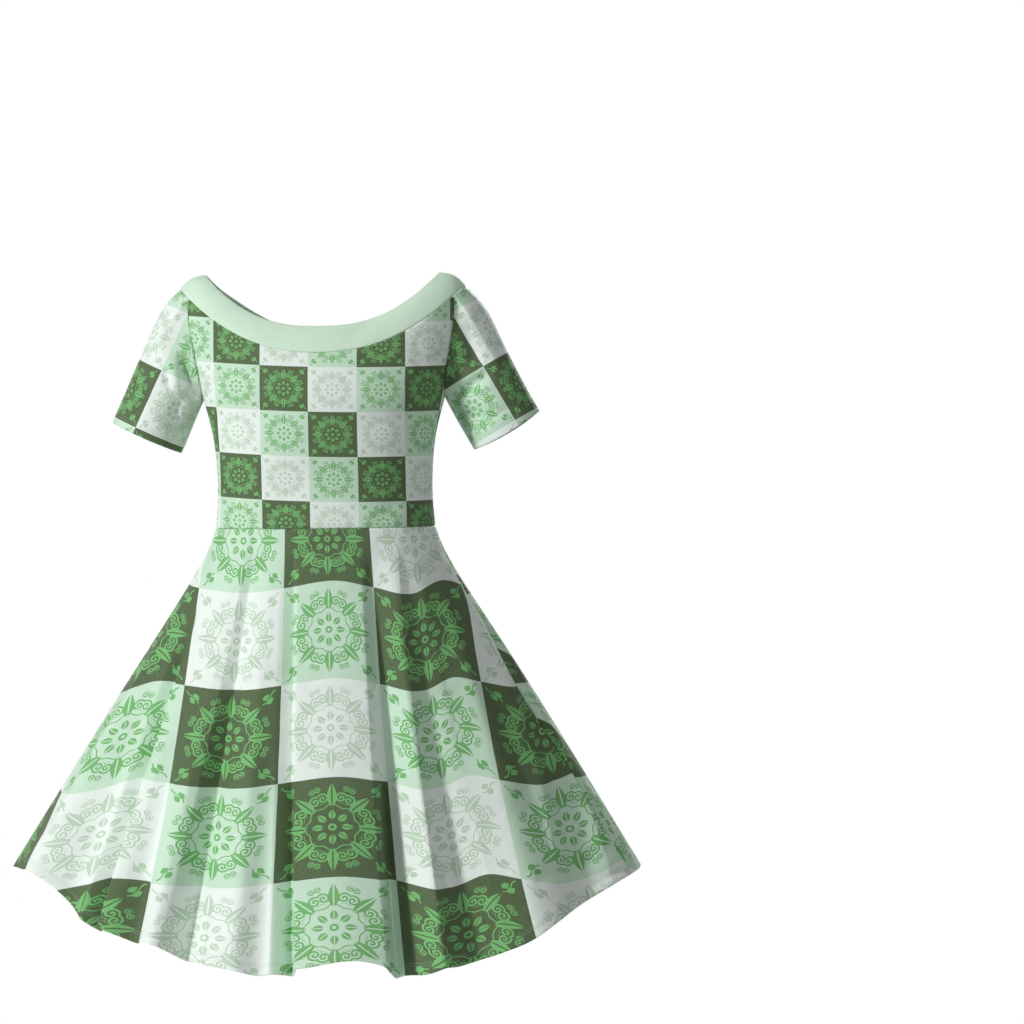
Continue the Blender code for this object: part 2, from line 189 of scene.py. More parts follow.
def shellPoints(grid, sewn, closed, hem, wall, dip, seamWay):
    # seamWay holds the directions that a seam turns away from where they aren't the cloth's own
    # normals, and how far each point follows them
    normals = surfaceNormals(grid, closed)
    down = lengthsAlong(grid, 0)
    gap = edgeGap(grid, sewn)
    if seamWay:
        share = smoothStep((cloth["seamRoll"] - gap) / (cloth["seamRoll"] - cloth["allowanceEdge"]))
        normals = unit(blend(normals, seamWay[0], (seamWay[1] * share)[..., None]))
    free = np.full(gap.shape, np.inf)
    if "high" not in sewn:
        free = down[-1:] - down
    if "low" not in sewn:
        free = down
    turned = free < hem
    thickness = np.where(turned, cloth["hemWall"], wall)
    roll = np.clip(1 - gap / cloth["seamRoll"], 0, 1) ** 2
    curl = np.clip(1 - free / cloth["foldWidth"], 0, 1) ** 2
    rounded = curl * np.minimum(cloth["foldRound"], thickness * cloth["foldShare"])
    outer = grid - normals * (cloth["seamDip"] * dip * roll + rounded)[..., None]
    thickness = np.where(gap < cloth["allowanceEdge"], cloth["allowance"], thickness - 2 * rounded)
    inner = outer - normals * thickness[..., None]
    return np.concatenate([outer.reshape(-1, 3), inner.reshape(-1, 3)]) * millimetre, turned


def clothShell(
    name, grid, printMap, fabrics, sewn, closed=False, hem=0, wall=cloth["wall"], dip=1.0, seamWay=None
):
    points, turned = shellPoints(grid, sewn, closed, hem, wall, dip, seamWay)
    index = np.arange(turned.size).reshape(turned.shape)
    index = closeRound(index) if closed else index
    groups = shellFaces(index, turned.size, closed)
    mesh = bpy.data.meshes.new(name)
    mesh.from_pydata(points.tolist(), [], np.concatenate(groups).tolist())
    for fabric in fabrics:
        mesh.materials.append(fabric)
    if len(fabrics) > 1:
        spans = index.shape[1] - 1
        lined = ~(turned[:-1, :spans] & turned[1:, :spans])
        slots = [np.zeros(len(groups[0])), lined.reshape(-1)]
        slots += [np.full(len(rim), edge in sewn) for edge, rim in zip(fourEdges, groups[2:])]
        mesh.polygons.foreach_set("material_index", np.concatenate(slots).astype(np.int32))
    clothMap = lengthMap(closeRound(grid) if closed else grid)
    places = np.arange(index.size).reshape(index.shape)
    corners = np.concatenate(shellFaces(places, 0, closed)).reshape(-1)
    for label, values in (("print", printMap), ("cloth", clothMap)):
        layer = mesh.uv_layers.new(name=label)
        layer.uv.foreach_set("vector", values.reshape(-1, 2)[corners].astype(np.float32).reshape(-1))
    mesh.shade_smooth()
    mesh.set_sharp_from_angle(angle=cloth["sharpAngle"])
    mesh.update()
    return newObject(name, mesh)


def spreadFrom(points, depthShare):
    # distance along each row from the point where x is zero, with depth counted in part, because the
    # print lies straight on the front of each piece; the shares are for the wearer's left and right
    x, y = points[..., 0], points[..., 1]
    share = np.where(x[:, 1:] + x[:, :-1] > 0, depthShare[0], depthShare[1])
    along = addedUp(np.hypot(np.diff(x, axis=1), share * np.diff(y, axis=1)))
    rows = zip(x, along)
    zero = np.array([np.interp(0, np.sort(row), lengths[np.argsort(row)]) for row, lengths in rows])
    return np.sign(x[:, -1:] - x[:, :1]) * (along - zero[:, None])


def wrinkled(grid, wrinkles, gap, closed=False):
    # presses short creases into the cloth along lines that are given by x and height, front or back;
    # they fade out where the gap to a sewn edge is small
    normals = surfaceNormals(grid, closed)
    flat = grid[..., [0, 2]]
    end, softness = cloth["wrinkleTaper"]
    push = 0
    for face, x0, z0, x1, z1, depth, spread in wrinkles:
        start, run = np.array([x0, z0]), np.array([x1 - x0, z1 - z0])
        share = ((flat - start) @ run) / (run @ run)
        away = np.linalg.norm(flat - start - np.clip(share, 0, 1)[..., None] * run, axis=-1)
        taper = np.sin(np.pi * np.clip(blend(end, 1 - end, share), 0, 1)) ** softness
        faces = smoothStep(normals[..., 1] * cloth["wrinkleSide"] * (1 if face else -1))
        push = push - depth * bump(away, spread) * taper * faces
    return grid + normals * (push * smoothStep(gap / cloth["wrinkleFade"]))[..., None]


def ofFace(face, wrinkles):
    return [wrinkle for wrinkle in wrinkles if wrinkle[0] == face]


# Shader maths: a wire holds a socket, and a sum on wires adds its Math nodes


def sumOf(operation, reflected=False):
    def made(wire, *others):
        return wire.maths(operation, *((*others, wire) if reflected else (wire, *others)))

    return made


class Wire:
    def __init__(self, tree, socket=None):
        self.tree = tree
        self.socket = socket

    def make(self, kind, settings=None, inputs=None, output=0):
        node = self.tree.nodes.new(kind)
        for key, value in (settings or {}).items():
            setattr(node, key, value)
        for key, value in (inputs or {}).items():
            if isinstance(value, Wire):
                self.tree.links.new(value.socket, node.inputs[key])
            else:
                node.inputs[key].default_value = value
        return Wire(self.tree, node.outputs[output])

    def maths(self, operation, *others):
        return self.make("ShaderNodeMath", {"operation": operation}, dict(enumerate(others)))

    def parts(self):
        # the three numbers of a vector
        first = self.make("ShaderNodeSeparateXYZ", {}, {0: self})
        return [Wire(self.tree, socket) for socket in first.socket.node.outputs]

    __add__ = __radd__ = sumOf("ADD")
    __mul__ = __rmul__ = sumOf("MULTIPLY")
    __sub__ = sumOf("SUBTRACT")
    __rsub__ = sumOf("SUBTRACT", reflected=True)
    __truediv__ = sumOf("DIVIDE")
    __lt__ = sumOf("LESS_THAN")
    __gt__ = sumOf("GREATER_THAN")
    __abs__ = sumOf("ABSOLUTE")
    sine = sumOf("SINE")
    cosine = sumOf("COSINE")
    floor = sumOf("FLOOR")
    most = sumOf("MAXIMUM")
    wrap = sumOf("FLOORED_MODULO")


def mixColours(wire, share, first, second):
    inputs = {0: share, 6: first, 7: second}
    return wire.make("ShaderNodeMix", {"data_type": "RGBA"}, inputs, 2)


def linear(*colour):
    # from the tones of a picture, 0 to 255, to the light that they stand for
    share = np.array(colour) / 255
    value = np.where(share < 0.04045, share / 12.92, ((share + 0.055) / 1.055) ** 2.4)
    return (*value.tolist(), 1.0)


def newSurface(name, roughness, sheen=0.05):
    material = bpy.data.materials.new(name)
    material.use_nodes = True
    shader = material.node_tree.nodes["Principled BSDF"]
    shader.inputs["Roughness"].default_value = roughness
    shader.inputs["Sheen Weight"].default_value = sheen
    shader.inputs["Sheen Roughness"].default_value = 0.5
    shader.inputs["Specular IOR Level"].default_value = 0.3
    return material, Wire(material.node_tree), shader


knit = {
    "wale": 0.9,  # ribs of the jersey, mm apart
    "course": 0.7,
    "loopLean": 1.6,  # how far each loop leans over, and how much loops and lean count in the height
    "loopShares": (0.6, 0.25),
    "depth": 0.00012,  # metres, like the next
    "unevenDepth": 0.0011,
    "unevenScale": 0.035,
    "fadeScale": 0.02,
    "grainScale": 0.55,
    "grain": 0.32,
    "specks": (linear(232, 238, 230), linear(52, 66, 46)),
    "worn": linear(120, 134, 118),
}


def noise(start, where, scale, detail, roughness=0.5):
    inputs = {"Vector": where, "Scale": scale, "Detail": detail, "Roughness": roughness}
    return start.make("ShaderNodeTexNoise", {"noise_dimensions": "2D"}, inputs)


def knitHeight(start):
    # jersey: rows of small loops, with the looser unevenness of soft cloth over them
    where = start.make("ShaderNodeUVMap", {"uv_map": "cloth"})
    across, along, _ = where.parts()
    loop = (across * (2 * np.pi / knit["wale"])).sine()
    lean = (along * (2 * np.pi / knit["course"]) + abs(loop) * knit["loopLean"]).sine()
    loops = abs(loop) * knit["loopShares"][0] + lean * knit["loopShares"][1]
    return loops * knit["depth"] + noise(start, where, knit["unevenScale"], 3) * knit["unevenDepth"]


def finishSurface(start, shader, colour, fade):
    where = start.make("ShaderNodeUVMap", {"uv_map": "cloth"})
    worn = (noise(start, where, knit["fadeScale"], 4) - 0.5) * fade
    specks = (noise(start, where, knit["grainScale"], 2, 0.7) - 0.5) * knit["grain"]
    speckled = mixColours(start, specks.most(0.0), colour, knit["specks"][0])
    speckled = mixColours(start, (specks * -1.0).most(0.0), speckled, knit["specks"][1])
    shaded = mixColours(start, worn.most(0.0), speckled, knit["worn"])
    link = start.tree.links.new
    link(shaded.socket, shader.inputs["Base Color"])
    bumped = start.make("ShaderNodeBump", {}, {"Strength": 1.0, "Distance": 1.0, "Height": knitHeight(start)})
    link(bumped.socket, shader.inputs["Normal"])


# The print: squares in three tones, each with a round medallion of leaves and curls made up for this dress

printTones = {
    "dark": linear(84, 104, 68),
    "pale": linear(236, 246, 239),
    "mint": linear(203, 232, 208),
    "leafOnDark": linear(118, 188, 112),
    "leafOnPale": linear(194, 217, 194),
    "leafOnMint": linear(118, 186, 112),
}
medallion = {
    "spear": (0.40, 0.90, 0.085),  # start, tip and half width of the eight long leaves
    "vein": (0.013, 0.0078),  # half the gap along the middle of a long leaf and of a petal
    "petal": (0.15, 0.36, 0.060),
    "ring": (0.435, 0.030, 0.011),
    "curl": (0.60, 0.27, 0.115, 0.062, 0.27),  # distance out, turn, reach, pitch and weight
    "smallCurl": (0.80, 0.335, 0.062, 0.040, 0.27),
    "eye": (0.0315, 0.072),  # from and to what distance
    "stem": (0.93, 1.30, 0.035, 15.0, 0.013),  # start, end, swing, pace and weight
    "bud": (0.99, 1.16, 0.050),
    "budAside": 0.055,
}


def leafShape(along, across, size):
    start, tip, half = size
    share = (along - start) / (tip - start)
    inside = (share > 0.0) * (share < 1.0)
    width = (share * (1.0 - share) * 4.0).most(0.0) * (1.35 - share * 0.7) * half
    return inside * (width - abs(across) > 0.0)


def curlShape(along, across, size):
    out, turn, reach, pitch, weight = size
    x = along - out * float(np.cos(turn))
    y = across - out * float(np.sin(turn))
    far = x.maths("SQRT", x * x + y * y)
    turned = y.maths("ARCTAN2", y, x) / (2 * np.pi)
    band = abs((far / pitch - turned).wrap(1.0) - 0.5)
    return (far < reach) * (band < weight)


def medallionMask(start, x, y):
    far = start.maths("SQRT", x * x + y * y)
    angle = start.maths("ARCTAN2", y, x)
    eighth = np.pi / 4
    turned = (angle + eighth / 2).wrap(eighth) - eighth / 2
    folded = abs(turned)
    along, across = far * folded.cosine(), far * folded.sine()
    spearVein, petalVein = medallion["vein"]
    spear = leafShape(along, across, medallion["spear"]) * (across > spearVein)
    petal = leafShape(along, across, medallion["petal"]) * (across > petalVein)
    radius, wave, line = medallion["ring"]
    ring = abs(far - radius - (angle * 8.0).cosine() * wave) < line
    curls = curlShape(along, across, medallion["curl"]).most(curlShape(along, across, medallion["smallCurl"]))
    curls = curls * (1.0 - spear)
    eye = (far > medallion["eye"][0]) * (far < medallion["eye"][1])
    quarter = angle.wrap(np.pi / 2) - np.pi / 4
    out, side = far * quarter.cosine(), far * quarter.sine()
    begin, end, swing, pace, weight = medallion["stem"]
    stem = (abs(side - ((out - begin) * pace).sine() * swing) < weight) * (out > begin) * (out < end)
    bud = leafShape(out, abs(side) - medallion["budAside"], medallion["bud"])
    return spear.most(petal).most(ring).most(curls).most(eye).most(stem).most(bud)


def printedKnit():
    material, start, shader = newSurface("printed_knit_green_checks", roughness=0.62)
    u, v, _ = start.make("ShaderNodeUVMap", {"uv_map": "print"}).parts()
    column, row = u.floor(), v.floor()
    tone = (column - row).wrap(3.0)
    isDark, isMint = tone < 0.5, tone > 1.5
    mask = medallionMask(start, (u - column - 0.5) * 2.0, (v - row - 0.5) * 2.0)
    ground = mixColours(start, isDark, printTones["pale"], printTones["dark"])
    ground = mixColours(start, isMint, ground, printTones["mint"])
    leaf = mixColours(start, isDark, printTones["leafOnPale"], printTones["leafOnDark"])
    leaf = mixColours(start, isMint, leaf, printTones["leafOnMint"])
    finishSurface(start, shader, mixColours(start, mask, ground, leaf), fade=0.25)
    return material


def plainKnit(name, colour):
    material, start, shader = newSurface(name, roughness=0.88)
    finishSurface(start, shader, colour, fade=0.2)
    return material


printed = printedKnit()
reverse = plainKnit("knit_reverse_unprinted", linear(222, 230, 223))
# plain mint of the neckband, partly its own colour and partly painted light: it is paler than the print's
# mint to stand for the light that its upward-facing strip catches
bandKnitWithPaintedLight = plainKnit("neckband_knit_mint_with_painted_light", linear(212, 238, 215))
print("materials made")


# Neckband: a folded strip between two curves that dip in front and behind

neckband = {
    "neckEdge": {
        "halfWidth": 145.3,
        "depth": (86, 78),
        "dip": (-66.5, -73.5),
        "power": (2.5, 3.0),
        "shoulder": 0.0,
    },
    "seamEdge": {
        "halfWidth": 178.0,
        "depth": (103, 95),
        "dip": (-99.5, -107.5),
        "power": (2.25, 3.4),
        "shoulder": -17.0,
    },
    "rounding": {"centre": 1.5, "shoulder": 5.0},
    # the back edge stands up toward the wearer's right: how much, degrees from the middle, how wide, and
    # over how many degrees it ends at the shoulder
    "backLift": (10.5, 40.0, 19.0, 40.0),
    "around": 440.0,
    "strip": 42.0,
    "columns": 200,
    "rows": 16,
    "foldRows": (0.035, 0.015, 0.0),
    "dip": 0.45,
}


def neckCurve(edge, angle):
    x, y = ovalPoint(angle, edge["halfWidth"], edge["depth"])
    dip, power = byFace(edge["dip"], angle), byFace(edge["power"], angle)
    z = dip + (edge["shoulder"] - dip) * np.abs(np.sin(angle)) ** power
    return np.stack(np.broadcast_arrays(x, y, z), -1)


def bandPoint(angle, across):
    inner = neckCurve(neckband["neckEdge"], angle)
    lift, liftAt, liftSpread, ending = neckband["backLift"]
    fromMiddle = np.degrees(angle) - 180
    inner[..., 2] += lift * bump(fromMiddle - liftAt, liftSpread) * smoothStep((90 - fromMiddle) / ending)
    strip = neckCurve(neckband["seamEdge"], angle) - inner
    length = np.linalg.norm(strip, axis=-1)
    away = np.stack([-strip[..., 2] * np.sin(angle), strip[..., 2] * np.cos(angle)], -1) / length[..., None]
    rise = np.hypot(strip[..., 0], strip[..., 1]) / length
    normal = np.concatenate([away, rise[..., None]], -1)
    height = blend(neckband["rounding"]["centre"], neckband["rounding"]["shoulder"], np.sin(angle) ** 2)
    height = height * 4 * across * (1 - across)
    return inner + strip * across[..., None] + normal * height[..., None]


def makeNeckband(face, name):
    turn = blend(-np.pi / 2, np.pi / 2, fineEdges(neckband["columns"], neckband["around"]))
    across = 1 - fineEdges(neckband["rows"], neckband["strip"], high=False)
    across = np.append(across[:-1], neckband["foldRows"])
    acrossGrid, angleGrid = np.meshgrid(across, onFace(face, turn), indexing="ij")
    grid = bandPoint(angleGrid, acrossGrid)
    grid = grid[:, ::-1] if face else grid
    edges, wall = ("low", "first", "last"), cloth["bandWall"]
    return clothShell(name, grid, lengthMap(grid), [bandKnitWithPaintedLight], edges, wall=wall, dip=neckband["dip"])


# Bodice: level sections up to the underarm, then the chest between the armholes

bodice = {
    "fullness": 0.09,
    "sections": columnsOf(
        "height halfWidth frontDepth backDepth",
        (-321.0, 137.5, 96, 88),
        (-276.5, 134.0, 99, 84),
        (-229.5, 135.5, 108, 87),
        (-198.5, 139.0, 114.5, 93),
        (-155.5, 150.5, 115, 98),
        (-112.5, 156.0, 106, 97),
    ),
    "waistSide": -315.5,
    "waistDip": 1.0,
    "underarm": -155.5,
    "armholeTop": np.radians((68.0, 69.0)),
    "armholeReach": (46.0, 48.0),
    "armholeIn": 1.1,  # how soon it comes in to the width of its top
    "armholeMiddle": -95.0,
    # where the cloth begins to turn in with the sleeve, over how much, and from how far below the arm
    "armholeEdge": (0.97, 0.015, 10.0),
    "reachBy": 0.5,
    "chestLean": 0.5,
    "around": 400.0,
    "columns": 180,
    "lowRun": 160.0,
    "lowRows": 62,
    "chestRun": 100.0,
    "chestRows": 84,
    "closerLow": 1.35,  # brings the chest's rows closer together at the underarm
    "joinRows": 16,  # rows over which the chest is eased into the part below it, how often, by what
    "joinRounds": 260,  # share each time, and how near to the side edges
    "joinShare": 0.5,
    "joinPower": 8,
    # front or back, from x and height to x and height, depth and width
    "wrinkles": (
        (0, 152, -158, 88, -126, 2.6, 6.5),
        (0, 150, -168, 92, -182, 2.2, 7.0),
        (0, 118, -92, 132, -140, 1.6, 6.0),
        (0, -152, -158, -112, -118, 2.6, 6.0),
        (0, -150, -166, -104, -190, 2.0, 7.0),
        (0, 40, -200, 92, -176, 1.4, 9.0),
        (0, -60, -300, -20, -262, 1.2, 9.0),
        (0, 70, -306, 110, -270, 1.5, 8.0),
        (1, 150, -158, 96, -128, 2.4, 6.5),
        (1, -150, -160, -100, -132, 2.4, 6.5),
        (1, 30, -296, 104, -268, 1.8, 8.0),
        (1, -96, -300, -34, -276, 1.6, 8.0),
    ),
    # print, front and back: how much depth counts at the wearer's left and right, where the left line of
    # the middle column lies and how far apart the columns are, the same for the rows, and how far their
    # lines bow and tilt toward a side
    "print": (
        {"depthShare": (0.65, 0.4), "across": (-12.5, 60.0), "down": (-117.9, 55.2), "bow": (4.5, 4.0)},
        {"depthShare": (0.6, 0.6), "across": (-18.1, 58.8), "down": (-118.7, 57.0), "bow": (1.0, 0.0)},
    ),
    "printSide": (140.0, 1.2),  # where the bow is measured, and how far past it the bow goes on
}


def waistHeight(angle):
    return bodice["waistSide"] - bodice["waistDip"] * np.cos(angle) ** 2


def bodySection(height):
    rows = bodice["sections"]
    depths = (readCurve(rows, "frontDepth", height), readCurve(rows, "backDepth", height))
    return readCurve(rows, "halfWidth", height), depths


def bodyPoint(angle, height):
    halfWidth, depths = bodySection(height)
    x, y = ovalPoint(angle, halfWidth, depths, bodice["fullness"])
    return np.stack([x, y, height + 0 * x], -1)


def armholeTop(face, side):
    angle = side * bodice["armholeTop"][face]
    return neckCurve(neckband["seamEdge"], onFace(face, angle))


def armholePoint(face, side, up):
    top = armholeTop(face, side)
    reachBy, reach = bodice["reachBy"], bodice["armholeReach"][face]
    swing = np.sqrt(1 - (1 - np.clip(up / reachBy, 0, 1)) ** 2)
    y = reach * swing - (reach - abs(top[1])) * smoothStep((up - reachBy) / (1 - reachBy))
    x = blend(bodySection(bodice["underarm"])[0], abs(top[0]), smoothStep(up * bodice["armholeIn"]))
    return np.stack([side * x, y if face else -y, blend(bodice["underarm"], top[2], up)], -1)


def armholeWay(points):
    # at an armhole both cloths turn in toward its middle, so that their edges stay together
    return unit((points - np.array([0, 0, bodice["armholeMiddle"]])) * np.array([0, 1, 1]))


def chestPoint(face, across, up):
    turn = across * np.pi / 2
    bottom = bodyPoint(onFace(face, turn), np.full_like(turn, bodice["underarm"]))
    top = neckCurve(neckband["seamEdge"], onFace(face, across * bodice["armholeTop"][face]))
    lean = up * blend(bodice["chestLean"], 1, up)
    share = np.stack([lean, lean, up], -1)
    flat = blend(bottom, top, share)
    pull = 0
    for side in (-1, 1):
        edgeBottom = bodyPoint(np.array(side * np.pi / 2), np.array(bodice["underarm"]))
        edge = blend(edgeBottom, armholeTop(face, side), share)
        weight = np.clip(side * across, 0, 1) ** 3
        pull = pull + (armholePoint(face, side, up) - edge) * weight[..., None]
    return flat + pull


def relaxJoin(grid, across, joinRow):
    # lets the cloth run smoothly past the underarm, and leaves the side edges where they are sewn
    fromJoin = np.arange(len(grid))[:, None] - joinRow
    weight = bump(fromJoin, bodice["joinRows"]) * (1 - np.abs(across) ** bodice["joinPower"])[None]
    for _ in range(bodice["joinRounds"]):
        middle = (grid[:-2] + grid[2:]) / 2
        grid[1:-1] += (middle - grid[1:-1]) * bodice["joinShare"] * weight[1:-1, :, None]
    return grid


def makeBodice(face, name):
    across = blend(-1, 1, fineEdges(bodice["columns"], bodice["around"]))
    turn = across * np.pi / 2
    low = fineEdges(bodice["lowRows"], bodice["lowRun"], high=False)[:-1]
    share, angles = np.meshgrid(low, onFace(face, turn), indexing="ij")
    lowGrid = bodyPoint(angles, blend(waistHeight(angles), bodice["underarm"], share))
    chest = fineEdges(bodice["chestRows"], bodice["chestRun"], low=False) ** bodice["closerLow"]
    up, acrossGrid = np.meshgrid(chest, across, indexing="ij")
    grid = np.concatenate([lowGrid, chestPoint(face, acrossGrid, up)])
    grid = relaxJoin(grid, across, len(low))
    grid = grid[:, ::-1] if face else grid
    grid = wrinkled(grid, ofFace(face, bodice["wrinkles"]), edgeGap(grid, fourEdges))

    layout = bodice["print"][face]
    spread = spreadFrom(grid, layout["depthShare"]) * (-1 if face else 1)
    side, beyond = bodice["printSide"]
    sideways = np.clip(grid[..., 0] / side, -beyond, beyond)
    (line, width), (top, height), (bow, tilt) = layout["across"], layout["down"], layout["bow"]
    drop = bow * sideways**2 - tilt * sideways
    printMap = np.stack([(spread - line) / width + 1, (top - grid[..., 2] + drop) / height], -1)

    edgeFrom, edgeOver, below = bodice["armholeEdge"]
    aboveUnderarm = smoothStep((grid[..., 2] - bodice["underarm"]) / below + 1)
    seamWay = (armholeWay(grid), aboveUnderarm * smoothStep((np.abs(across) - edgeFrom) / edgeOver))
    return clothShell(name, grid, printMap, [printed, reverse], fourEdges, seamWay=seamWay)


# Sleeves: runs of cloth from the armhole to the cuff, then the turned hem

sleeve = {
    # the ends of the cuff, how far it turns down in front and bows, and how its print lies: the line of a
    # column, that column, which way the columns run and how far down the rows begin
    "left": {
        "side": 1,
        "outer": (268.8, -174.1),
        "inner": (186.9, -221.8),
        "droop": (-0.6, 3.8),
        "print": (16.8, 1, 1, 5.0),
    },
    "right": {
        "side": -1,
        "outer": (265.4, -182.4),
        "inner": (179.7, -222.1),
        "droop": (1.0, 1.5),
        "print": (13.5, 2, -1, 8.0),
    },
    "halfDepth": 52.0,
    "cuffAtArmholeTop": np.radians(130.0),
    "headSlope": {"underarm": np.radians(64.0), "shoulder": np.radians(50.0)},
    "pull": 0.33,
    "folds": columnsOf(
        "place push spread start",
        (28, -3.0, 9, 0.15),
        (62, -3.5, 10, 0.20),
        (300, -3.0, 10, 0.20),
        (334, -3.0, 9, 0.15),
    ),
    # fullness at the top of the sleeve: how much, how wide, where, how long, and where it begins
    "cap": (3.5, 55.0, 0.22, 0.15, 0.12),
    "wrinkles": (
        (0, 164, -156, 206, -128, 6.0, 5.2),
        (0, 168, -172, 206, -184, 5.0, 5.0),
        (0, 178, -72, 194, -118, 4.2, 6.0),
        (0, 196, -196, 244, -166, 2.2, 4.0),
        (0, 158, -128, 196, -104, 2.2, 6.5),
        (0, 186, -60, 206, -120, 1.8, 8.0),
        (0, -172, -104, -162, -152, 8.0, 5.2),
        (0, -184, -104, -178, -152, -4.0, 5.5),
        (0, -176, -160, -187, -204, 5.0, 5.0),
        (0, -194, -118, -188, -144, 3.6, 4.0),
        (0, -184, -172, -216, -150, 2.6, 6.0),
        (0, -156, -132, -182, -104, 2.4, 6.0),
        (0, -204, -84, -224, -136, 1.8, 8.0),
        (1, 168, -168, 222, -140, 3.2, 7.0),
        (1, 170, -140, 200, -110, 2.4, 6.5),
        (1, -168, -168, -218, -142, 3.2, 7.0),
        (1, -166, -138, -198, -112, 2.4, 6.5),
    ),
    "hem": 12.0,
    "hemRows": (1.5, 4, 6.5, 9.0, 10.4, 11.4, 12.0),
    "columns": 190,
    "ring": (60, 1.5, 40),  # points up each side of the armhole, how much closer below, and over its top
    "run": 130.0,
    "rows": 72,
    "wrinkleClear": 20.0,  # how far from the hem the wrinkles keep
    "printPitch": 77.5,
    "printDepthShare": 0.75,
}


def armholeRing(side, count):
    # points round the armhole, evenly spaced from the underarm, and the angle round the cuff of each
    points, closer, pointsOver = sleeve["ring"]
    up = np.linspace(0, 1, points) ** closer
    front, back = armholePoint(0, side, up), armholePoint(1, side, up[::-1])
    ends = (bodice["armholeTop"][0], np.pi - bodice["armholeTop"][1])
    top = neckCurve(neckband["seamEdge"], side * np.linspace(*ends, pointsOver)[1:-1])
    ring = np.concatenate([front, top, back])
    length = lengthsAlong(ring, 0)
    atTop = sleeve["cuffAtArmholeTop"]
    knots = (0, length[len(front) - 1], length[len(front) + len(top)], length[-1])
    even = np.linspace(0, length[-1], count + 1)[:-1]
    turn = np.interp(even, knots, (0, atTop, 2 * np.pi - atTop, 2 * np.pi))
    points = np.stack([np.interp(even, length, ring[:, axis]) for axis in range(3)], -1)
    return points, turn


def sleevePush(turn, share):
    push = 0
    for place, depth, spread, start in zip(*sleeve["folds"].values()):
        along = np.sin(np.pi * grown(share, start))
        push = push + depth * bump(np.degrees(turn) - place, spread) * along
    depth, spread, middle, length, begin = sleeve["cap"]
    fullness = bump(np.degrees(turn) - 180, spread) * bump(share - middle, length)
    return push + depth * fullness * smoothStep(share / begin)


def sleeveFrame(cuff):
    # the middle of the cuff, its half width as a vector, and the ways across it and down the sleeve
    side = cuff["side"]
    inner, outer = (np.array([side * x, 0, z]) for x, z in (cuff["inner"], cuff["outer"]))
    half = (outer - inner) / 2
    out = unit(half)
    return (inner + outer) / 2, half, out, np.array([side * abs(out[2]), 0, -abs(out[0])])


def sleevePoints(cuff, head, turn, shares, pasts):
    # shares run from the armhole to the fold line of the hem, pasts go on from there along the sleeve
    centre, half, out, down = sleeveFrame(cuff)
    sine, cosine = np.sin(turn)[:, None], np.cos(turn)[:, None]
    turnDown, bow = cuff["droop"]
    away = -cosine * half + sine * np.array([0, -sleeve["halfDepth"], 0])
    away = away + (bow * sine**2 - turnDown * sine) * down
    foldLine = centre + away - down * sleeve["hem"]
    slope = blend(sleeve["headSlope"]["underarm"], sleeve["headSlope"]["shoulder"], (1 - cosine[:, 0]) / 2)
    leave = np.stack([cuff["side"] * np.cos(slope), 0 * slope, -np.sin(slope)], -1)
    pull = sleeve["pull"] * np.linalg.norm(foldLine - head, axis=1)[:, None]
    controls = (head, head + leave * pull, foldLine - down * pull, foldLine)
    rows = []
    for share in shares:
        weights = ((1 - share) ** 3, 3 * share * (1 - share) ** 2, 3 * share**2 * (1 - share), share**3)
        row = sum(weight * control for weight, control in zip(weights, controls))
        rows.append(row + unit(away) * sleevePush(turn, share)[:, None])
    for past in pasts:
        rows.append(foldLine + down * past)
    return np.array(rows)


def makeSleeve(which, name):
    cuff = sleeve[which]
    head, turn = armholeRing(cuff["side"], sleeve["columns"])
    shares = fineEdges(sleeve["rows"], sleeve["run"], high=False)
    grid = sleevePoints(cuff, head, turn, shares, sleeve["hemRows"])[::-1]
    if cuff["side"] < 0:
        grid, turn = grid[:, ::-1], turn[::-1]
    fromHem = lengthsAlong(grid, 0)
    gap = np.minimum(fromHem[-1:] - fromHem, np.clip(fromHem - sleeve["wrinkleClear"], 0, None))
    grid = wrinkled(grid, sleeve["wrinkles"], gap, closed=True)

    centre, half, out, down = sleeveFrame(cuff)
    closedGrid = closeRound(grid)
    across = (closedGrid - centre) @ out
    steps = np.hypot(np.diff(across, axis=1), sleeve["printDepthShare"] * np.diff(closedGrid[..., 1], axis=1))
    around = addedUp(steps) * cuff["side"]
    middle = np.argmin(np.abs(turn - np.pi / 2))
    spread = around - around[:, middle : middle + 1] + across[:, middle : middle + 1]
    line, column, sign, top = cuff["print"]
    u = sign * (spread - line) / sleeve["printPitch"] + column
    v = 2 + (top + (closedGrid - centre) @ down) / sleeve["printPitch"]
    printMap, fabrics = np.stack([u, v], -1), [printed, reverse]
    seamWay = (armholeWay(grid), 1.0)
    return clothShell(name, grid, printMap, fabrics, ("high",), True, sleeve["hem"], seamWay=seamWay)


# Skirt: straight runs of cloth from the waist seam to the hem, in uneven folds that grow on the way down

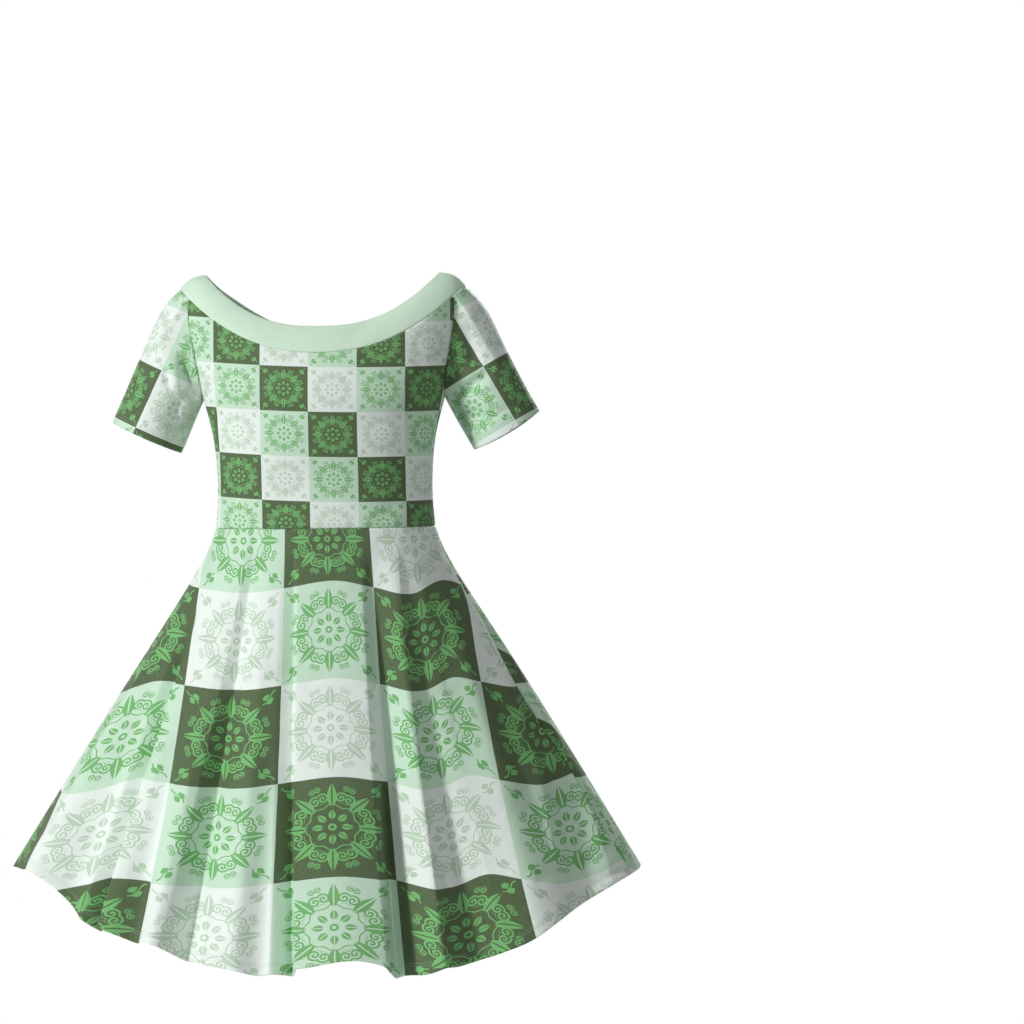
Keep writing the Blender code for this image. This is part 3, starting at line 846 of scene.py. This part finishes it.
skirt = {
    "halfWidth": 390.0,
    "depth": (250, 240),
    "hemLine": columnsOf(
        "place height",
        *((-90, -739), (-75, -735.5), (-60, -748.5), (-53, -780), (-38, -808), (-27, -824), (-13, -849)),
        *((-2, -844), (8.5, -837), (11.5, -841), (13.3, -846), (16, -843), (20, -851), (29, -836.5)),
        *((40, -821), (48, -796), (60, -767), (75, -747), (90, -739), (105, -743), (120, -769)),
        *((140, -816), (160, -845), (180, -851), (200, -846), (220, -815), (240, -766), (255, -742)),
        (270, -739),
    ),
    "waistEase": (0.032, 0.14),  # how much closer the cloth hangs just below the waist, and where most
    "seamAtHem": {"left": 74.0, "right": -95.0},
    "seamAtWaist": 90.0,
    "spreadPower": 2.2,
    "spreadShare": 0.2,
    "foldGrowth": 1.3,
    "foldLift": 0.4,
    "folds": columnsOf(
        "place push lean spread start",
        (-87, 6, 0, 6.0, 0.30),
        (-66, 8, 0, 6.0, 0.30),
        (-55, -18, 4, 4.0, 0.35),
        (-44, 9, 0, 4.5, 0.40),
        (-38, -12, 3, 2.6, 0.50),
        (-31.5, 7, 0, 4.0, 0.30),
        (3, 10, 0, 6.0, 0.15),
        (77, 5, 0, 5.0, 0.30),
        (98, -12, 0, 5.0, 0.35),
        (112, 9, 0, 5.0, 0.25),
        (123, -16, 4, 4.0, 0.30),
        (134, 10, 0, 4.5, 0.25),
        (144, -18, 0, 3.6, 0.10),
        (154, 9, 0, 4.5, 0.15),
        (163, -15, 0, 3.4, 0.30),
        (172, 9, 0, 4.5, 0.20),
        (180, -10, 0, 3.0, 0.45),
        (187.5, 12, 0, 3.4, 0.04),
        (193.5, -24, 7, 2.8, 0.20),
        (203, 11, 0, 5.0, 0.10),
        (211, -18, 0, 3.6, 0.25),
        (221, 9, 0, 4.5, 0.25),
        (231, -17, -4, 3.8, 0.35),
        (242, 9, 0, 5.0, 0.30),
        (253, -10, 0, 4.0, 0.40),
    ),
    "creases": columnsOf(
        # where it is at the hem, how far over at the waist, how far out it stands, its two widths,
        # how round its line is, and how far down it starts
        "place drift push left right round start",
        (-64, 0, 9, 6, 6, 0.3, 0.2),
        (-47.5, -2, -30, 3.6, 3.8, 0.15, 0.2),
        (-36.5, 0, -10, 4, 2.6, 0.15, 0.4),
        (-25.5, 4, -9, 8, 9, 0.4, 0.0),
        (-26, 5, -24, 3.2, 3.8, 0.12, 0.0),
        (-30.5, 2, 9, 3.5, 3.5, 0.2, 0.3),
        (-14.5, 0, 12, 5, 4, 0.25, 0.05),
        (-11, 0, -9, 4, 4, 0.4, 0.5),
        (-4.6, -2.5, -24, 3.6, 0.9, 0.05, 0.04),
        (15, -4.4, -42, 2.3, 7.0, 0.05, 0.05),
        (23, -4, 14, 6, 3.2, 0.05, 0.02),
        (28.5, -8, -12, 3.5, 6, 0.35, 0.1),
        (42.5, 0, 13, 8, 8, 0.25, 0.12),
        (57, 30, -14, 7, 7, 0.35, 0.2),
        (122, 0, -12, 6, 2.5, 0.1, 0.1),
        (134, 0, 10, 4, 4, 0.2, 0.1),
        (144, 3, -22, 3, 5, 0.08, 0.04),
        (154, 0, 11, 3, 5, 0.1, 0.1),
        (163, 0, -16, 4, 3, 0.1, 0.15),
        (187.5, 0, 14, 3, 5, 0.08, 0.02),
        (193.5, -3, -23, 3, 5, 0.08, 0.1),
        (203, 0, 11, 5, 5, 0.3, 0.1),
        (211, -2, -18, 5, 3, 0.08, 0.1),
        (221, 0, 9, 4, 4, 0.3, 0.1),
        (231, 0, -14, 3, 5, 0.1, 0.2),
        (242, 0, 10, 5, 5, 0.3, 0.1),
        (253, 0, -10, 4, 4, 0.2, 0.2),
    ),
    "creaseGrowth": 0.75,
    "creaseEase": 1.25,
    "wrinkles": (
        (0, 268, -742, 352, -716, 2.4, 4.5),
        (0, 300, -764, 372, -738, 2.6, 4.0),
        (0, 286, -752, 330, -742, 1.8, 3.0),
        (0, -352, -716, -300, -728, 1.6, 5.0),
        (0, -312, -742, -268, -750, 1.8, 4.5),
    ),
    "hem": 15.0,
    "hemRows": (0, 0.5, 1.1, 2.0, 4, 6.5, 9.0, 11.5, 14.0, 16.5, 20),
    "run": 540.0,
    "rows": 86,
    "rowsClear": 0.004,  # the last row keeps this share from the rows of the hem
    "columns": 440,
    "hemSteps": 3000,
    "dip": 1.4,
    # print, front and back: from what share of the width it wraps at the wearer's left and right, how far
    # out it shifts past column -1, the width of a column at the waist and how it grows, where the middle
    # lies at the waist and lower down, the line of a row and the rows' pitch, and how far the lines
    # between the rows drop, column by column
    "printTop": -318.0,
    "printDrop": 540.0,
    "print": (
        {
            "wrapsFrom": (0.93, 0.955),
            "outerShift": 0.09,
            "width": (104.0, 41.0, 22.0),
            "middle": (8.0, 23.0),
            "down": (-389.2, 118.0),
            "wave": columnsOf(
                "column drop",
                *((-2.4, 2.0), (-1.95, 17.0), (-1.6, 9.5), (-1.3, -4.0), (-1.0, 0.0), (-0.42, 5.5)),
                *((0.0, 0.0), (0.63, -8.5), (1.0, 0.0), (1.43, 8.5), (1.75, -6.5), (2.0, 0.0)),
                *((2.37, 8.5), (2.65, -2.0), (2.85, -14.0), (3.1, -22.0)),
            ),
        },
        {
            "wrapsFrom": (0.7, 0.8),
            "outerShift": 0.0,
            "width": (83.0, 34.0, 7.0),
            "middle": (0.0, 0.0),
            "down": (-391.0, 112.5),
            "wave": columnsOf(
                "column drop",
                *((-2.2, 10.0), (-1.6, 6.0), (-1.0, 0.0), (-0.45, -7.0), (0.0, 0.0), (0.5, 7.0)),
                *((1.0, 0.0), (1.5, -7.0), (2.0, 0.0), (2.6, 8.0), (3.2, 10.0), (4.3, 8.0)),
                *((5.2, 12.0), (6.0, 12.0)),
            ),
        },
    ),
    "seamLift": (0.75, 0.62, 0.22),  # columns more at the left seam, where the print meets the front's
    "seamLiftEnds": (90.0, 150.0),
    "waveFrom": 0.12,
    "mostStretch": 1.7,
    "evenedOver": 12,  # lines of points
    "seamSpare": 30,  # lines of points beside a seam where x may turn back
}


def spreadShare(share):
    eased = 1 - (1 - share) ** skirt["spreadPower"]
    return blend(eased, share, skirt["spreadShare"])


def waistAngle(hemAngle):
    past = np.abs(hemAngle)
    seam = np.where(hemAngle > 0, skirt["seamAtHem"]["left"], -skirt["seamAtHem"]["right"])
    front = skirt["seamAtWaist"] * spreadShare(np.clip(past / seam, 0, 1))
    back = 180 - skirt["seamAtWaist"] * spreadShare(np.clip((180 - past) / (180 - seam), 0, 1))
    return np.sign(hemAngle) * np.where(past <= seam, front, back)


def skirtFold(hemAngle, down):
    # how far the folds and creases push the cloth out and along
    out, along = 0, 0
    for place, push, lean, spread, start in zip(*skirt["folds"].values()):
        distance = halfTurn(hemAngle - place)
        shape = bump(distance, spread) * grown(down, start) ** skirt["foldGrowth"]
        out = out + push * shape
        along = along + lean * shape
    for place, drift, push, left, right, rounded, start in zip(*skirt["creases"].values()):
        distance = halfTurn(hemAngle - place - drift * (1 - down))
        far = np.hypot(distance / np.where(distance < 0, left, right), rounded) - rounded
        height = push * grown(down, start) ** skirt["creaseGrowth"]
        out = out + height * np.clip(1 - far, 0, 1) ** skirt["creaseEase"]
    return out, along


def skirtPoint(hemAngle, down, folded=True):
    topAngle, lowAngle = np.radians(waistAngle(hemAngle)), np.radians(hemAngle)
    topZ = waistHeight(topAngle)
    halfWidth, depths = bodySection(topZ)
    topX, topY = ovalPoint(topAngle, halfWidth, depths, bodice["fullness"])
    lowX, lowY = ovalPoint(lowAngle, skirt["halfWidth"], skirt["depth"])
    lowZ = readCurve(skirt["hemLine"], "height", (hemAngle + 90) % 360 - 90, by="place")
    ease, easeAt = skirt["waistEase"]
    spread = down - ease * (down / easeAt) * np.exp(1 - down / easeAt)
    out, along = skirtFold(hemAngle, down) if folded else (0, 0)
    depth = byFace(skirt["depth"], lowAngle)
    normal = unit(np.stack([depth * np.sin(lowAngle), -skirt["halfWidth"] * np.cos(lowAngle)], -1))
    x = blend(topX, lowX, spread) + out * normal[..., 0] - along * normal[..., 1]
    y = blend(topY, lowY, spread) + out * normal[..., 1] + along * normal[..., 0]
    z = blend(topZ, lowZ, down) + skirt["foldLift"] * out
    return np.stack([x, y, z], -1)


def skirtColumns(face):
    # hem angles, from seam to seam, whose points lie evenly along the hem
    left, right = skirt["seamAtHem"]["left"], skirt["seamAtHem"]["right"]
    ends = (left, 360 + right) if face else (right, left)
    fine = np.linspace(*ends, skirt["hemSteps"])
    length = lengthsAlong(skirtPoint(halfTurn(fine), 1.0), 0)
    return np.interp(fineEdges(skirt["columns"], length[-1]) * length[-1], length, fine)


def evened(values, reach):
    # a moving average along each row
    weights = bump(np.arange(-3 * reach, 3 * reach + 1), reach)
    wide = np.pad(values, ((0, 0), (3 * reach, 3 * reach)), "edge")
    return np.array([np.convolve(row, weights / weights.sum(), "valid") for row in wide])


def skirtSpread(face, grid, smooth, down, wrapsFrom):
    # distance round each row from where x is zero: straight across on the front and the back, and
    # measured along the folded cloth near the sides. The flank of a fold gets some of its own
    # width too, which the cloth on both sides of it gives back.
    forward = 1 if face else -1
    around = skirtPoint(np.linspace(-180, 180, 181)[None], down[:, :1], folded=False)
    reach = np.abs(around[..., 0]).max(axis=1, keepdims=True)
    x, y = [(smooth[:, 1:, axis] + smooth[:, :-1, axis]) / 2 for axis in (0, 1)]
    begins = np.where(x > 0, wrapsFrom[0], wrapsFrom[1])
    side = np.where(y * forward < 0, 1, smoothStep((np.abs(x) / reach - begins) / (1 - begins)))
    step = np.diff(grid, axis=1)
    own = np.hypot(step[..., 0], step[..., 1])
    steps = blend(-forward * step[..., 0], own, side)
    short = addedUp(np.clip(own / skirt["mostStretch"] - steps, 0, None))
    along = addedUp(steps) + short - evened(short, skirt["evenedOver"])
    spare = skirt["seamSpare"]
    rows = zip(-forward * smooth[:, spare:-spare, 0], along[:, spare:-spare])
    zero = np.array([np.interp(0, row, lengths) for row, lengths in rows])
    return -forward * (along - zero[:, None])


def skirtPrint(face, columns, grid, down):
    layout = skirt["print"][face]
    smooth = skirtPoint(halfTurn(columns), down, folded=False)
    spread = skirtSpread(face, grid, smooth, down, layout["wrapsFrom"])
    lower = (skirt["printTop"] - grid[..., 2]) / skirt["printDrop"]
    first, second, third = layout["width"]
    width = first + second * lower + third * lower**2
    u = (spread - blend(*layout["middle"], lower)) / width + 0.5
    u = u + layout["outerShift"] * smoothStep(-1 - u)
    if face:
        near, beyond = skirt["seamLiftEnds"]
        lift, liftAt, liftSpread = skirt["seamLift"]
        u = u + lift * bump(down - liftAt, liftSpread) * smoothStep((beyond - columns) / (beyond - near))
    drop = readCurve(layout["wave"], "drop", u, by="column") * smoothStep(down / skirt["waveFrom"])
    line, height = layout["down"]
    return np.stack([u, 1 + (line - grid[..., 2] - drop) / height], -1)


def makeSkirt(face, name):
    columns = skirtColumns(face)
    nearHem = np.array(skirt["hemRows"]) / skirt["run"]
    shares = fineEdges(skirt["rows"], skirt["run"], high=False)
    last = 1 - nearHem[-1] - skirt["rowsClear"]
    shares = np.concatenate([shares[shares < last], 1 - nearHem[::-1]])
    down = np.broadcast_to(shares[:, None], (len(shares), len(columns)))
    grid = skirtPoint(halfTurn(columns), down)
    printMap = skirtPrint(face, columns, grid, down)[::-1]
    edges, fabrics = ("high", "first", "last"), [printed, reverse]
    grid = grid[::-1]
    grid = wrinkled(grid, ofFace(face, skirt["wrinkles"]), edgeGap(grid, edges))
    return clothShell(name, grid, printMap, fabrics, edges, hem=skirt["hem"], dip=skirt["dip"])


def facesIn(group):
    return sum(len(piece.data.polygons) for piece in group.values())


pieces = {}
for face, side in enumerate(("front", "back")):
    for part, make in (("neckband_", makeNeckband), ("bodice_", makeBodice), ("skirt_", makeSkirt)):
        pieces[part + side] = make(face, part + side + "_cloth")
for side in ("left", "right"):
    pieces["sleeve_" + side] = makeSleeve(side, "sleeve_" + side + "_cloth")
print("cloth pieces made:", facesIn(pieces), "faces")


# Twin rows of stitching above the hem and the cuffs

stitch = {
    "pitch": 3.0,
    "length": 2.3,
    "width": 0.55,
    "height": 0.45,
    "proud": 0.12,
    "rows": (11.0, 14.0),  # above the edge
    "rowAbove": 17.0,
    "beside": 3.0,  # how far beside a row the cloth is felt for the way it faces
    "colours": (linear(176, 208, 178), linear(140, 178, 142)),
    "twist": 9000.0,  # radians a metre
}


def threadMaterial():
    material, start, shader = newSurface("stitch_thread_green", roughness=0.55, sheen=0.2)
    across, _, height = start.make("ShaderNodeTexCoord", {}, {}, 3).parts()
    twist = ((across + height) * stitch["twist"]).sine() * 0.5 + 0.5
    colour = mixColours(start, twist, *stitch["colours"])
    start.tree.links.new(colour.socket, shader.inputs["Base Color"])
    return material


thread = threadMaterial()


def stitchTree():
    # beads of thread along a path, whose attribute "outward" says which way the cloth faces
    tree = bpy.data.node_groups.new("stitchesOnPath", "GeometryNodeTree")
    sizes = ("Pitch", "Length", "Width", "Height")
    tree.interface.new_socket("Path", in_out="INPUT", socket_type="NodeSocketGeometry")
    for label in sizes:
        tree.interface.new_socket(label, in_out="INPUT", socket_type="NodeSocketFloat")
    tree.interface.new_socket("Stitches", in_out="OUTPUT", socket_type="NodeSocketGeometry")
    make = Wire(tree).make
    inputs = tree.nodes.new("NodeGroupInput").outputs
    path, pitch, length, width, height = (Wire(tree, inputs[label]) for label in ("Path", *sizes))
    curve = make("GeometryNodeMeshToCurve", {}, {"Mesh": path})
    spaced = make("GeometryNodeResampleCurve", {"mode": "LENGTH"}, {"Curve": curve, "Length": pitch})
    bead = make("GeometryNodeMeshUVSphere", {}, {"Segments": 6, "Rings": 4, "Radius": 0.5})
    size = make("ShaderNodeCombineXYZ", {}, {"X": length, "Y": width, "Z": height})
    bead = make("GeometryNodeTransform", {}, {"Geometry": bead, "Scale": size})
    tangent = make("GeometryNodeInputTangent")
    vector = {"data_type": "FLOAT_VECTOR"}
    outward = make("GeometryNodeInputNamedAttribute", vector, {"Name": "outward"}, "Attribute")
    align = "FunctionNodeAlignRotationToVector"
    turn = make(align, {"axis": "X"}, {"Vector": tangent})
    turn = make(align, {"axis": "Z", "pivot_axis": "X"}, {"Rotation": turn, "Vector": outward})
    sown = {"Points": spaced, "Instance": bead, "Rotation": turn}
    real = make("GeometryNodeRealizeInstances", {}, {0: make("GeometryNodeInstanceOnPoints", {}, sown)})
    dyed = make("GeometryNodeSetMaterial", {}, {"Geometry": real, "Material": thread})
    tree.links.new(dyed.socket, tree.nodes.new("NodeGroupOutput").inputs["Stitches"])
    return tree


stitches = stitchTree()


def sewStitches(name, paths, outwards):
    # paths are open runs of points in millimetres, with the way out of the cloth at each point
    mesh = bpy.data.meshes.new(name + "_path")
    points = np.concatenate([path + out * stitch["proud"] for path, out in zip(paths, outwards)])
    ends = np.cumsum([len(path) for path in paths])
    edges = [(point, point + 1) for point in range(len(points) - 1) if point + 1 not in ends]
    mesh.from_pydata((points * millimetre).tolist(), edges, [])
    attribute = mesh.attributes.new("outward", "FLOAT_VECTOR", "POINT")
    attribute.data.foreach_set("vector", np.concatenate(outwards).astype(np.float32).reshape(-1))
    guide = newObject(name + "_path", mesh)
    modifier = guide.modifiers.new("stitches", "NODES")
    modifier.node_group = stitches
    for item in stitches.interface.items_tree:
        if item.in_out == "INPUT" and item.name.lower() in stitch:
            modifier[item.identifier] = stitch[item.name.lower()] * millimetre
    bpy.context.view_layer.update()
    graph = bpy.context.evaluated_depsgraph_get()
    made = bpy.data.meshes.new_from_object(guide.evaluated_get(graph))
    made.shade_smooth()
    piece = newObject(name, made)
    guide.modifiers.clear()
    bpy.data.objects.remove(guide, do_unlink=True)
    return piece


def skirtStitches(face, name):
    angle = halfTurn(skirtColumns(face)[2:-2])
    run = np.linalg.norm(skirtPoint(angle, 1.0) - skirtPoint(angle, 0.0), axis=1)
    paths, outwards = [], []
    beside = np.array([-1, 0, 1]) * stitch["beside"]
    for above in stitch["rows"]:
        rows = np.array([skirtPoint(angle, 1 - (above + up) / run) for up in beside])
        rows = wrinkled(rows, ofFace(face, skirt["wrinkles"]), edgeGap(rows, ("first", "last")))
        paths.append(rows[1])
        outwards.append(surfaceNormals(rows, False)[1])
    return sewStitches(name, paths, outwards)


def cuffStitches(which, name):
    cuff = sleeve[which]
    head, turn = armholeRing(cuff["side"], sleeve["columns"])
    head, turn = np.concatenate([head, head[:1]]), np.append(turn, 2 * np.pi)
    pasts = sleeve["hem"] - np.array([*stitch["rows"], stitch["rowAbove"]])
    rows = sleevePoints(cuff, head, turn, (), pasts)
    paths = rows[:-1]
    outwards = [unit(np.cross(np.gradient(low, axis=0), high - low)) for low, high in zip(rows, rows[1:])]
    return sewStitches(name, paths, np.array(outwards) * cuff["side"])


trims = {}
for face, side in enumerate(("front", "back")):
    trims["skirt_" + side] = skirtStitches(face, "skirt_" + side + "_stitching")
for side in ("left", "right"):
    trims["sleeve_" + side] = cuffStitches(side, "sleeve_" + side + "_stitching")
print("stitching made:", facesIn(trims), "faces")


# Each piece rides on the dress and stands for its solid, and its area is printed beside its flat cut size

cuts = {  # flat size in metres and the pieces that it hangs from
    "neckband_front": (0.49, 0.05),
    "neckband_back": (0.49, 0.05),
    "bodice_front": (0.43, 0.31, "neckband_front"),
    "bodice_back": (0.41, 0.31, "neckband_back"),
    "skirt_front": (1.22, 0.56, "bodice_front"),
    "skirt_back": (1.41, 0.56, "bodice_back"),
    "sleeve_left": (0.38, 0.19, "neckband_front", "neckband_back"),
    "sleeve_right": (0.38, 0.19, "neckband_front", "neckband_back"),
}

for node, piece in pieces.items():
    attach(piece, "root")
    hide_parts(node)
    width, length, *carriers = cuts[node]
    carriers = [pieces[name].name for name in carriers]
    area = sum(polygon.area for polygon in piece.data.polygons) / 2
    area = min(area, width * length)
    print(node, "area", round(area, 4), "of", round(width * length, 4))
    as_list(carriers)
for piece in trims.values():
    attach(piece, "root")


# Studio: a pale floor that fades into a white surround, soft lights and a long lens

studio = {
    "floorHeight": -1.42,
    "floorRadius": 12.0,
    "floorCorners": 96,
    "fade": (1.2, 4.0),
    "surround": 1.0,
    "ambient": 0.09,
    "target": (0.0, 0.0, -0.42),
    "lights": {
        # place, size and power
        "keyLight": ((-4.5, -3.35, 1.7), 0.8, 290.0),
        "topLight": ((0.8, -1.4, 3.6), 1.6, 44.0),
        "fillLight": ((2.6, -5.4, 0.6), 2.0, 26.0),
        "backLight": ((1.3, 5.8, 1.8), 1.2, 250.0),
        "backFill": ((-2.4, 5.4, 1.0), 2.0, 40.0),
    },
}


def glow(start, kind):
    # white to the camera, and dimmer as a light
    seen, lit = [
        start.make(kind, {}, {"Color": (1, 1, 1, 1), "Strength": studio[strength]})
        for strength in ("surround", "ambient")
    ]
    return start.make("ShaderNodeMixShader", {}, {0: start.make("ShaderNodeLightPath"), 1: lit, 2: seen})


def makeFloor():
    mesh = bpy.data.meshes.new("studio_floor")
    turn = np.linspace(0, 2 * np.pi, studio["floorCorners"] + 1)[:-1]
    points = np.stack([np.cos(turn), np.sin(turn), 0 * turn], -1) * studio["floorRadius"]
    points[:, 2] = studio["floorHeight"]
    mesh.from_pydata(points.tolist(), [], [list(range(len(points)))])
    floor = newObject("studio_floor", mesh)
    material = bpy.data.materials.new("studio_floor_white")
    material.use_nodes = True
    start = Wire(material.node_tree)
    shader = start.tree.nodes["Principled BSDF"]
    shader.inputs["Base Color"].default_value = (0.9, 0.9, 0.9, 1)
    shader.inputs["Roughness"].default_value = 0.9
    x, y, _ = start.make("ShaderNodeTexCoord", {}, {}, 3).parts()
    far = start.maths("SQRT", x * x + y * y)
    near, beyond = studio["fade"]
    smooth, reach = {"interpolation_type": "SMOOTHSTEP"}, {0: far, 1: near, 2: beyond}
    share = start.make("ShaderNodeMapRange", smooth, reach)
    surface = {0: share, 1: Wire(start.tree, shader.outputs[0]), 2: glow(start, "ShaderNodeEmission")}
    mixed = start.make("ShaderNodeMixShader", {}, surface)
    start.tree.links.new(mixed.socket, start.tree.nodes["Material Output"].inputs["Surface"])
    mesh.materials.append(material)


def makeWorld():
    world = bpy.data.worlds.new("studio_surround")
    bpy.context.scene.world = world
    world.use_nodes = True
    tree = world.node_tree
    tree.nodes.remove(tree.nodes["Background"])
    mixed = glow(Wire(tree), "ShaderNodeBackground")
    tree.links.new(mixed.socket, tree.nodes["World Output"].inputs["Surface"])


def makeLights():
    target = Vector(studio["target"])
    for name, (place, size, power) in studio["lights"].items():
        light = bpy.data.lights.new(name, "AREA")
        light.size = size
        light.energy = power
        lamp = newObject(name, light)
        lamp.location = place
        lamp.rotation_euler = (target - Vector(place)).to_track_quat("-Z", "Y").to_euler()


cameraView = {
    "azimuth": 4.0,
    "elevation": 2.0,
    "roll": 0.62,
    "distance": 6.4,
    "centre": (0.0, 0.0, -0.44),
    "aim": (0.233, 0.140),  # how far right of and above the dress the picture's middle lies
    "lens": 180.0,
}


def makeCamera():
    azimuth, elevation = np.radians([cameraView["azimuth"], cameraView["elevation"]])
    right = np.array([np.cos(azimuth), np.sin(azimuth), 0.0])
    level = np.array([np.sin(azimuth), -np.cos(azimuth), 0.0])
    away = level * np.cos(elevation) + np.array([0, 0, np.sin(elevation)])
    up = np.cross(away, right)
    centre = np.array(cameraView["centre"])
    place = centre + away * cameraView["distance"]
    aim = centre + right * cameraView["aim"][0] + up * cameraView["aim"][1]
    back = unit(place - aim)
    right = unit(np.cross([0, 0, 1.0], back))
    up = np.cross(back, right)
    roll = np.radians(cameraView["roll"])
    right, up = right * np.cos(roll) - up * np.sin(roll), up * np.cos(roll) + right * np.sin(roll)
    lens = bpy.data.cameras.new("camera")
    lens.lens = cameraView["lens"]
    lens.sensor_width = 36.0
    camera = newObject("camera", lens)
    camera.matrix_world = Matrix.Translation(place) @ Matrix(np.stack([right, up, back], 1)).to_4x4()
    bpy.context.scene.camera = camera


makeFloor()
makeWorld()
makeLights()
makeCamera()
bpy.context.scene.view_settings.view_transform = "Standard"
print("studio made")
